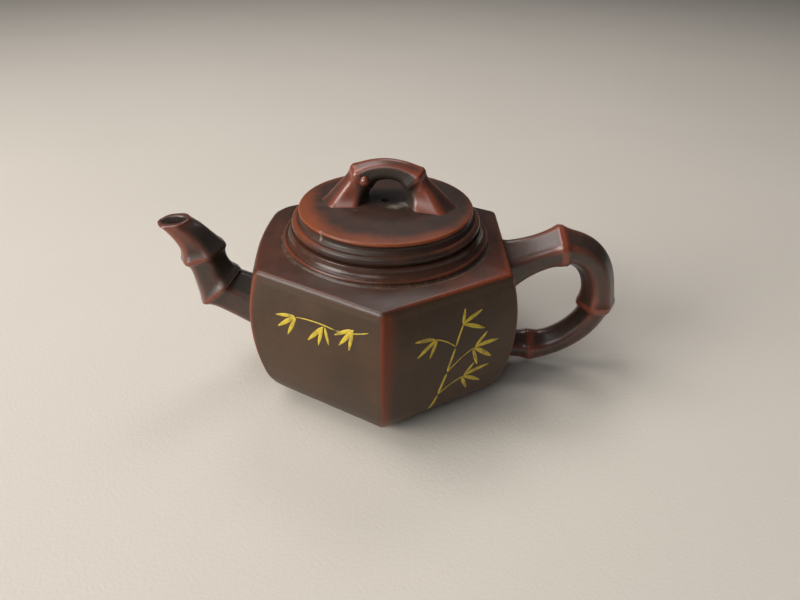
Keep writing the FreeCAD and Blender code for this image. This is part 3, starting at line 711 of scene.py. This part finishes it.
def stemLine(stem):
    # centre line and section directions; near a node the sections lean into the bisector of its bend
    share = 0.5 - 0.5 * np.cos(np.linspace(0, math.pi, stem["rows"]))
    spans = [cubic(curve, share) for curve in stem["curves"]]
    turns = [unit(np.array(stem["startWay"], float))]
    turns += [unit(before[1][-1] + after[1][0]) for before, after in zip(spans, spans[1:])]
    turns += [unit(np.array(stem["endWay"], float))]
    spots, ways, along, core = [], [], [], []
    start, nodes = 0.0, []
    for index, (spot, way) in enumerate(spans):
        step = np.linalg.norm(np.diff(spot, axis=0), axis=1)
        run = np.concatenate([[0], np.cumsum(step)])
        near = column(np.exp(-(run / stem["lean"][index])**2))
        far = column(np.exp(-((run[-1] - run) / stem["lean"][index + 1])**2))
        lean = way * np.clip(1 - near - far, 0, 1) + turns[index] * near + turns[index + 1] * far
        part = run / run[-1]
        thick = blend(stem["sizes"][index], stem["sizes"][index + 1], part ** stem["taper"][index])
        waist = 1 - stem["waist"][index] * 4 * part * (1 - part)
        keep = slice(0 if index == 0 else 1, None)  # spans share their end rows
        spots.append(spot[keep])
        ways.append(unit(lean)[keep])
        along.append((start + run)[keep])
        core.append((thick * waist)[keep])
        start += run[-1]
        nodes.append(start)
    spots, ways, along, core = (np.concatenate(parts) for parts in (spots, ways, along, core))
    return spots, ways, along, core, nodes[:-1]


def nodeRidge(gap, band, flare, step):
    # 1 over the band at the node, falling as exponentials: a long flare before it and a short step after it
    past = gap - np.clip(gap, 0, band)
    away = np.sqrt(past**2 + ridgeRound) - math.sqrt(ridgeRound)
    return np.exp(-away / np.where(past < 0, flare, step))


def stemSection(stem, size):
    # hexagon with a corner up and down and upright cheeks; each corner is a quadratic curve, soft long;
    # also gives the distance from the nearest corner
    cheek, width, soft = stem["cheek"], stem["width"], stem["soft"]
    shape = np.array([(0, 1), (-width, cheek), (-width, -cheek), (0, -1), (width, -cheek), (width, cheek)])
    ahead = unit(np.roll(shape, -1, axis=0) - shape)
    back = unit(np.roll(shape, 1, axis=0) - shape)
    turn = np.linspace(0, 1, stem["turnColumns"])
    flat = np.linspace(0, 1, stem["flatColumns"] + 2)[1:-1]
    half = column(size)[:, :, None] / 2
    sides, ups, edge = [], [], []
    for index in range(len(shape)):
        following = (index + 1) % len(shape)
        spread = (1 - turn)[:, None]**2 * back[index] + turn[:, None]**2 * ahead[index]
        bends = half * shape[index] + soft * spread
        begin = half * shape[index] + soft * ahead[index]
        end = half * shape[following] + soft * back[following]
        face = begin + (end - begin) * flat[:, None]
        gap = np.minimum(flat, 1 - flat) * np.linalg.norm(end - begin, axis=-1)
        sides += [bends[..., 0], face[..., 0]]
        ups += [bends[..., 1], face[..., 1]]
        corner = np.broadcast_to(np.abs(turn - 0.5) * bendLength * soft, bends.shape[:2])
        edge += [corner, gap + bendLength / 2 * soft]
    return np.hstack(sides), np.hstack(ups), np.hstack(edge)


def placeStem(spots, ways, side, up):
    # sections stand across the line: side goes along Y and up stays in the stem's own plane
    x = column(spots[:, 0]) - column(ways[:, 1]) * up
    z = column(spots[:, 1]) + column(ways[:, 0]) * up
    return x, side, z


def stemSkin(stem):
    # the section, swollen at each node, set along the line; wear is highest on the ridges and the arrises
    spots, ways, along, core, nodes = stemLine(stem)
    ridge, handled = np.zeros_like(along), np.zeros_like(along)
    for place, height, flareSide in zip(nodes, stem["ridges"], stem["flareSides"]):
        gap = (along - place) * flareSide
        core = core + height * nodeRidge(gap, stem["band"], stem["flare"], stem["step"])
        worn = nodeRidge(gap, stem["band"] + stemWear["bandMore"], stemWear["flare"], stemWear["step"])
        ridge = np.maximum(ridge, worn)
        handled = np.maximum(handled, np.exp(-np.abs(gap) / stemWear["nodeReach"]))
    side, up, gap = stemSection(stem, core)
    x, y, z = placeStem(spots, ways, side, up)
    handled = column(stem["arrisWear"] + stemWear["nearNode"] * handled)
    arris = np.exp(-(gap / stem["wearWidth"])**2) * handled
    wear = np.maximum(arris, column(ridge) * stemWear["ridge"]) + stem["wornAll"]
    return x, y, z, wear, up / column(core / 2), spots, ways, along


def leaning(degrees):
    # a direction that many degrees up from the spout's way out
    return np.array([-math.cos(math.radians(degrees)), math.sin(math.radians(degrees))])


spout = {
    "root": (-40.0, 24.0), "low": (-58.5, 33.4), "high": (-62.4, 46.3), "mouth": (-70.4, 57.5),
    "startWay": (-1, 0), "tipStart": 70, "tipEnd": 38, "mouthTilt": 5,
    "sizes": [21.8, 16.8, 14.4, 12.0], "taper": [1, 1, 1], "waist": [0.06, 0.08, 0.09],
    "lean": [7, 4.5, 3.5, 6.5], "width": 0.88, "cheek": 0.52, "soft": 2.1,
    "ridges": [3.4, 3.2], "flareSides": [-1, -1], "band": 0.5, "flare": 3.4, "step": 1.2,
    "bore": (12.4, 5.5), "boreLong": 1.42, "longBetween": (0.72, 1.0), "lipRound": 0.55, "lipRows": 9,
    "rows": 60, "turnColumns": 7, "flatColumns": 9,
    "wornAll": 0.05, "wearWidth": 1.7, "arrisWear": 0.30, "lipWear": (0.7, 0.2),
    "mouthWear": 0.55, "mouthBetween": (0.93, 1.0),
    "tipWear": 0.52, "tipBetween": (0.70, 0.92), "tipLevels": (-0.6, 0.0),
    "shade": 0.9, "shadeLevels": (-0.2, -0.7), "shadeBetween": (1.0, 0.8),
    "boreShade": 0.3, "boreDust": 0.6,
}


def addSpout():
    # outer skin from the wall to the mouth, over a rounded lip, and the bore back down again
    third = np.linalg.norm(np.subtract(spout["mouth"], spout["high"])) / 3
    spout["curves"] = [
        straight(spout["root"], spout["low"]),
        straight(spout["low"], spout["high"]),
        [spout["high"], spout["high"] + leaning(spout["tipStart"]) * third,
         spout["mouth"] - leaning(spout["tipEnd"]) * third, spout["mouth"]],
    ]
    spout["endWay"] = leaning(90 - spout["mouthTilt"])
    x, y, z, wear, level, spots, ways, along = stemSkin(spout)
    share = along / along[-1]
    # the bore is an ellipse about the same line, longer towards the mouth
    up = (z - column(spots[:, 1])) * column(ways[:, 0]) - (x - column(spots[:, 0])) * column(ways[:, 1])
    turn = np.arctan2(up, y)
    bore = blend(spout["bore"][0], spout["bore"][1], share) / 2
    slant = 1 + (spout["boreLong"] - 1) * smooth(*spout["longBetween"], share)
    inX, inY, inZ = placeStem(spots, ways, column(bore) * np.cos(turn), column(bore * slant) * np.sin(turn))
    # the lip is a half round between the last outer and the last inner ring
    swing = np.linspace(0, math.pi, spout["lipRows"])[1:-1]
    rise = column(np.sin(swing)) * spout["lipRound"]
    part = column(0.5 - 0.5 * np.cos(swing))
    lipX = blend(x[-1:], inX[-1:], part) + rise * ways[-1, 0]
    lipY = blend(y[-1:], inY[-1:], part)
    lipZ = blend(z[-1:], inZ[-1:], part) + rise * ways[-1, 1]
    lipWear = np.broadcast_to(blend(*spout["lipWear"], part), lipX.shape)
    wear = np.maximum(wear, column(spout["mouthWear"] * smooth(*spout["mouthBetween"], share)))
    tip = column(spout["tipWear"] * smooth(*spout["tipBetween"], share))
    wear = wear + tip * smooth(*spout["tipLevels"], level)
    # painted shade: the facets that face the pot are darkened along the spout, fading out before the mouth;
    # the bore gets painted shade and dust
    shade = smooth(*spout["shadeLevels"], level) * spout["shade"]
    shade = shade * smooth(*spout["shadeBetween"], column(share))
    blankLip, blank = np.zeros_like(lipX), np.zeros_like(x)
    marks = {
        "wear": np.vstack([wear, lipWear, blank]),
        "tone": np.vstack([shade, blankLip, blank + spout["boreShade"]]),
        "dust": np.vstack([blank, blankLip, blank + spout["boreDust"]]),
    }
    rings = ((x, lipX, inX[::-1]), (y, lipY, inY[::-1]), (z, lipZ, inZ[::-1]))
    grid = sheet(*(np.vstack(stack) for stack in rings), loop=True, ring=True, **marks)
    addPiece("spout_clay", [grid], stemClay, "pot", ["spout"])


addSpout()

handle = {
    "root": (39.6, 42.65), "top": (59.1, 50.4), "back": (75.5, 28.8), "low": (54.0, 8.9),
    "foot": (37.7, 10.2), "startWay": (1, 0), "endWay": (-0.905, 0.424),
    "earOut": 11.0, "earDown": 13.0, "lowDown": 10.3, "lowOut": 9.0,
    "rootDrop": 4.2, "rootReach": 4.0, "rootStart": 42.0, "rootLevels": (0.3, -0.45), "rootAbove": 30,
    "sizes": [21.0, 13.4, 12.0, 11.0, 12.4], "taper": [0.5, 1, 1, 1], "waist": [0.05, 0.01, 0.01, 0.0],
    "lean": [7, 4.5, 4, 4, 5], "width": 1.0, "cheek": 0.39, "soft": 2.1,
    "ridges": [3.5, 2.9, 2.2], "flareSides": [1, 1, 1], "band": 1.2, "flare": 3.0, "step": 1.3,
    "rows": 64, "turnColumns": 7, "flatColumns": 9,
    "wornAll": 0.02, "wearWidth": 1.8, "arrisWear": 0.36,
}


def addHandle():
    # rising root, round back, low span and a short foot; both ends are closed against the wall
    top, back, low = (np.array(handle[stop]) for stop in ("top", "back", "low"))
    handle["curves"] = [
        straight(handle["root"], top),
        [top, top + (handle["earOut"], 0), back + (0, handle["earDown"]), back],
        [back, back - (0, handle["lowDown"]), low + (handle["lowOut"], 0), low],
        straight(low, handle["foot"]),
    ]
    x, y, z, wear, level, *_ = stemSkin(handle)
    # the root's underside falls to the wall along an exponential
    fall = handle["rootDrop"] * np.exp(-np.maximum(x - handle["rootStart"], 0) / handle["rootReach"])
    z = z - fall * smooth(*handle["rootLevels"], level) * (z > handle["rootAbove"])
    grid = sheet(x, y, z, ring=True, caps="rows", wear=wear)
    addPiece("handle_clay", [grid], stemClay, "pot", ["handle"])


addHandle()

knob = {
    "foot": (14.0, 64.95), "node": (8.1, 74.5), "archRise": 2.4, "archSwing": 5.0, "turn": -6, "shift": 0.7,
    "startWay": (0, 1), "endWay": (0, -1),
    "sizes": [18.4, 7.6, 7.2, 18.4], "taper": [0.62, 1, 1.6], "waist": [0.04, 0.02, 0.04],
    "lean": [5, 2.6, 2.6, 5], "width": 0.88, "cheek": 0.52, "soft": 1.4,
    "ridges": [2.7, 2.7], "flareSides": [-1, 1], "band": 0.6, "flare": 2.2, "step": 1.2,
    "rows": 56, "turnColumns": 6, "flatColumns": 8,
    "wornAll": 0.24, "wearWidth": 1.5, "arrisWear": 0.30,
    "footWearAndPaintedLight": 0.5, "footBetween": (-1.0, 2.5), "footLevels": (0.9, 0.4),
    "shade": 0.8, "shadeLevels": (0.5, 0.2), "dust": 0.75, "dustTop": 66.4, "dustHeight": 1.4,
}


def onLid(x, y):
    # the knob's own axes are turned and shifted on the lid
    turnedX, turnedY = turnedBy(knob["turn"], x, y)
    return turnedX + knob["shift"], turnedY


def addKnob():
    # two flared feet that lean in to their nodes, and a low arch between them
    out, up = knob["foot"]
    nodeOut, nodeUp = knob["node"]
    rise = knob["archRise"] * 4 / 3
    left, right = np.array([-nodeOut, nodeUp]), np.array([nodeOut, nodeUp])
    knob["curves"] = [
        straight((-out, up), left),
        [left, left + (knob["archSwing"], rise), right + (-knob["archSwing"], rise), right],
        straight(right, (out, up)),
    ]
    x, y, z, wear, level, *_ = stemSkin(knob)
    feetFrom, feetTo = (nodeOut + more for more in knob["footBetween"])
    feet = smooth(feetFrom, feetTo, np.abs(x))
    # the feet's cheeks get extra red: partly real wear and partly painted light for the brightness they
    # catch
    wear = wear + knob["footWearAndPaintedLight"] * feet * smooth(*knob["footLevels"], np.abs(level))
    # painted shade: the arch below its top facet, away from the feet, is darkened and its red wear held
    # back there
    tone = knob["shade"] * (1 - feet) * smooth(*knob["shadeLevels"], level)
    x, y = onLid(x, y)
    dust = np.clip((knob["dustTop"] - z) / knob["dustHeight"], 0, 1) * knob["dust"]
    grid = sheet(x, y, z, ring=True, caps="rows", wear=wear * (1 - tone), dust=dust, tone=tone)
    addPiece("knob_clay", [grid], stemClay, "lid", ["knob"])


addKnob()

bud = {
    "spot": (-7.0, -4.3, 73.9), "radius": 1.55, "stretch": 1.15, "slimmer": 0.12, "rows": 24, "columns": 32,
    "wear": 0.5, "tipWear": 0.4,
}


def addBud():
    # a drop: an ellipsoid that is slimmer towards its upper end
    polar = np.linspace(0, math.pi, bud["rows"])[:, None]
    angle = around(bud["columns"])
    radius = bud["radius"] * np.sin(polar) * (1 - bud["slimmer"] * np.cos(polar))
    x = bud["spot"][0] + radius * np.cos(angle)
    y = bud["spot"][1] + radius * np.sin(angle)
    z = bud["spot"][2] + bud["radius"] * bud["stretch"] * np.cos(polar)
    x, y = onLid(x, y)
    grid = sheet(x, y, z, ring=True, wear=bud["wear"] + bud["tipWear"] * np.cos(polar))
    addPiece("knob_bud_clay", [grid], budClay, "lid", ["knob_bud"])


addBud()
print("spout, handle and knob done")

# Brushed leaves: closed lens-shaped strokes that follow the wall

brush = {
    "rows": 26, "around": 10, "lift": 0.10, "liftSlope": 2.5, "swell": 0.8, "endSlope": 8, "endPower": 0.5,
    "leafLead": 0.35, "leafTail": 0.25, "leafLift": 0.2,
    "twigBlunt": 0.8, "twigLead": 0.33, "twigTail": 0.67,
}


def strokeSheet(degrees, controls, width, blunt):
    # a stroke is a cubic curve on the flank; its width swells and ends in points, or stays even where blunt
    share = np.linspace(0, 1, brush["rows"])
    spot, way = cubic(controls, share)
    swell = np.sin(math.pi * share ** brush["swell"]) ** brush["swell"]
    even = np.minimum(1, brush["endSlope"] * np.minimum(share, 1 - share)) ** brush["endPower"]
    half = column(blend(swell, even, blunt)) * width / 2
    angle = around(brush["around"])
    lift = brush["lift"] * np.sin(angle) * np.minimum(half * brush["liftSlope"], 1)
    side = column(spot[:, 0]) - column(way[:, 1]) * half * np.cos(angle)
    z = column(spot[:, 1]) + column(way[:, 0]) * half * np.cos(angle)
    x, y = turnedBy(degrees, wallOut(z) + lift, side)
    return sheet(x, y, z, ring=True)


def leaf(stem, angle, length, droop, width):
    # a leaf leaves the twig at an angle and bends down by its droop
    start = np.array(stem, float)
    way = np.array([math.cos(math.radians(angle)), math.sin(math.radians(angle))])
    end = start + way * length + (0, -droop)
    lead = start + way * length * brush["leafLead"]
    tail = end - way * length * brush["leafTail"] + (0, droop * brush["leafLift"])
    return [start, lead, tail, end], width, 0.0


def twig(start, end, sag, width):
    # a shallow bow from start to end, pushed sideways by its sag
    start, end = np.array(start, float), np.array(end, float)
    away = np.array([start[1] - end[1], end[0] - start[0]]) / np.linalg.norm(end - start) * sag
    lead = blend(start, end, brush["twigLead"]) + away
    tail = blend(start, end, brush["twigTail"]) + away
    return [start, lead, tail, end], width, brush["twigBlunt"]


def addStrokes(name, wall, strokes):
    sheets = [strokeSheet(flanks[wall], *stroke) for stroke in strokes]
    addPiece(name, sheets, yellowSlip, "pot", crease=60)


# places are across the flank and up; a leaf's turn is in degrees from across
rightSpray = [
    twig((-5.0, 7.5), (-3.4, 15.2), 0.15, 1.0), twig((-3.3, 15.9), (-1.5, 24.6), 0.2, 0.95),
    twig((-1.4, 25.2), (0.9, 34.0), 0.25, 0.85), twig((1.0, 34.5), (3.6, 41.6), 0.25, 0.7),
    twig((-3.35, 15.5), (5.5, 20.5), 0.9, 0.42), twig((-1.45, 24.9), (8.2, 31.6), 1.0, 0.42),
    twig((0.95, 34.2), (-6.5, 39.4), -0.8, 0.4),
    leaf((5.5, 20.5), 20, 10.5, 2.0, 1.6), leaf((5.2, 20.4), -25, 9.0, 1.6, 1.5),
    leaf((4.8, 20.2), -62, 7.4, 0.4, 1.3), leaf((5.6, 20.7), 55, 6.0, 0.4, 1.2),
    leaf((8.2, 31.6), 12, 9.6, 1.8, 1.6), leaf((8.0, 31.4), -32, 9.2, 1.4, 1.6),
    leaf((7.6, 31.2), -70, 7.8, 0.3, 1.3), leaf((8.4, 31.9), 48, 6.6, 0.5, 1.2),
    leaf((3.6, 41.6), 30, 8.2, 1.2, 1.4), leaf((3.5, 41.4), -14, 8.6, 1.6, 1.4),
    leaf((3.4, 41.5), 78, 5.2, 0.0, 1.1),
    leaf((-6.5, 39.4), 158, 7.8, 1.6, 1.3), leaf((-6.3, 39.2), 205, 7.4, 1.2, 1.4),
    leaf((-6.0, 39.1), 246, 6.2, 0.2, 1.2),
]
leftSpray = [
    twig((19.5, 45.5), (8.0, 42.6), 0.8, 0.45), twig((8.0, 42.6), (-6.5, 42.2), -0.7, 0.4),
    leaf((14.5, 44.9), 232, 8.0, 0.6, 1.4), leaf((14.2, 44.8), 262, 7.2, 0.2, 1.2),
    leaf((13.8, 44.6), 205, 6.6, 0.8, 1.2),
    leaf((4.0, 42.4), 226, 8.4, 0.6, 1.4), leaf((3.6, 42.3), 258, 7.0, 0.2, 1.2),
    leaf((4.4, 42.5), 286, 6.0, 0.1, 1.1),
    leaf((-6.5, 42.2), 214, 8.2, 0.8, 1.4), leaf((-6.2, 42.1), 244, 7.6, 0.3, 1.3),
    leaf((-6.6, 42.3), 184, 7.4, 1.0, 1.2),
]
addStrokes("brush_spray_right", "wall_front_right", rightSpray)
addStrokes("brush_spray_left", "wall_front_left", leftSpray)
print("brushed leaves done")

# Pieces that keep the CAD shape
for name in ("strainer", "lid_flange"):
    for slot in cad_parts[name].material_slots:
        slot.material = insideClay

# Stage: pale floor, soft light and the camera; lamps are placed in metres and the camera in millimetres

stage = {
    "floor": (0.70, 0.65, 0.575), "floorDim": 0.93, "floorSize": 6.0, "floorRough": 0.9, "grainDepth": 0.1,
    "patch": (9, 2.0, 0.5), "grain": (900, 2.0, 0.5), "world": (0.82, 0.86, 0.92), "worldStrength": 0.065,
}
lamps = {
    "key": {"spot": (-0.94, -0.46, 0.54), "aim": (0, 0, 0.03), "size": (0.68, 0.6), "spread": 80,
            "power": 2.5, "colour": (1, 0.97, 0.92)},
    "top": {"spot": (-0.55, 0.08, 1.0), "aim": (0, 0, 0.03), "size": (0.7, 0.7), "spread": 180,
            "power": 6.2, "colour": (1, 0.96, 0.94)},
    "back": {"spot": (0.05, 0.68, 0.96), "aim": (0, 0, 0.05), "size": (0.42, 0.3), "spread": 180,
             "power": 1.7, "colour": (1, 0.97, 0.97)},
    "front": {"spot": (-0.36, -0.95, 0.86), "aim": (0, 0, 0.05), "size": (0.5, 0.6), "spread": 180,
              "power": 3.0, "colour": (0.97, 0.98, 1)},
}
view = {
    "spot": (2.97, -192.4, 151.4), "yaw": 0.0120, "pitch": 0.5723, "roll": 0.0214, "lens": 28.66,
    "sensor": 36, "clip": (0.01, 50),
}


def aimed(spot, aim):
    # a lamp looks along its own -Z
    back = unit(np.subtract(spot, aim))
    right = unit(np.cross((0, 0, 1), back))
    turn = Matrix(np.column_stack([right, np.cross(back, right), back]).tolist()).to_4x4()
    return Matrix.Translation(spot) @ turn


def addFloor():
    half = stage["floorSize"] / 2
    corners = [(-half, -half, 0), (half, -half, 0), (half, half, 0), (-half, half, 0)]
    mesh = bpy.data.meshes.new("floor")
    mesh.from_pydata(corners, [], [(0, 1, 2, 3)])
    ground = Finish("PaleFloor")
    patch = ground.noise(*stage["patch"])
    dim = tuple(part * stage["floorDim"] for part in stage["floor"])
    colour = ground.mix(dim, stage["floor"], patch)
    grain = ground.noise(*stage["grain"])
    sockets = {"Base Color": colour, "Roughness": stage["floorRough"]}
    mesh.materials.append(ground.close(grain, stage["grainDepth"] * millimetre, sockets))
    floor = bpy.data.objects.new("floor", mesh)
    bpy.context.scene.collection.objects.link(floor)


def addLamps():
    for name, lamp in lamps.items():
        light = bpy.data.lights.new(name, "AREA")
        light.shape = "RECTANGLE"
        light.size, light.size_y = lamp["size"]
        light.energy = lamp["power"]
        light.spread = math.radians(lamp["spread"])
        light.color = lamp["colour"]
        holder = bpy.data.objects.new(name, light)
        holder.matrix_world = aimed(lamp["spot"], lamp["aim"])
        bpy.context.scene.collection.objects.link(holder)
    world = bpy.data.worlds.new("Room")
    world.use_nodes = True
    background = world.node_tree.nodes["Background"]
    background.inputs["Color"].default_value = (*stage["world"], 1)
    background.inputs["Strength"].default_value = stage["worldStrength"]
    bpy.context.scene.world = world


def addCamera():
    # yaw turns to the right, pitch looks down and roll turns about the line of sight, in radians
    yaw, pitch, roll = view["yaw"], view["pitch"], view["roll"]
    level = math.cos(pitch)
    ahead = np.array([math.sin(yaw) * level, math.cos(yaw) * level, -math.sin(pitch)])
    right = np.array([math.cos(yaw), -math.sin(yaw), 0])
    up = np.cross(right, ahead)
    tiltRight = right * math.cos(roll) + up * math.sin(roll)
    tiltUp = up * math.cos(roll) - right * math.sin(roll)
    lens = bpy.data.cameras.new("camera")
    lens.lens = view["lens"]
    lens.sensor_width = view["sensor"]
    lens.clip_start, lens.clip_end = view["clip"]
    camera = bpy.data.objects.new("camera", lens)
    turn = Matrix(np.column_stack([tiltRight, tiltUp, -ahead]).tolist()).to_4x4()
    camera.matrix_world = Matrix.Translation([part * millimetre for part in view["spot"]]) @ turn
    bpy.context.scene.collection.objects.link(camera)
    bpy.context.scene.camera = camera


addFloor()
addLamps()
addCamera()
bpy.context.scene.view_settings.view_transform = "Standard"
print("stage done")
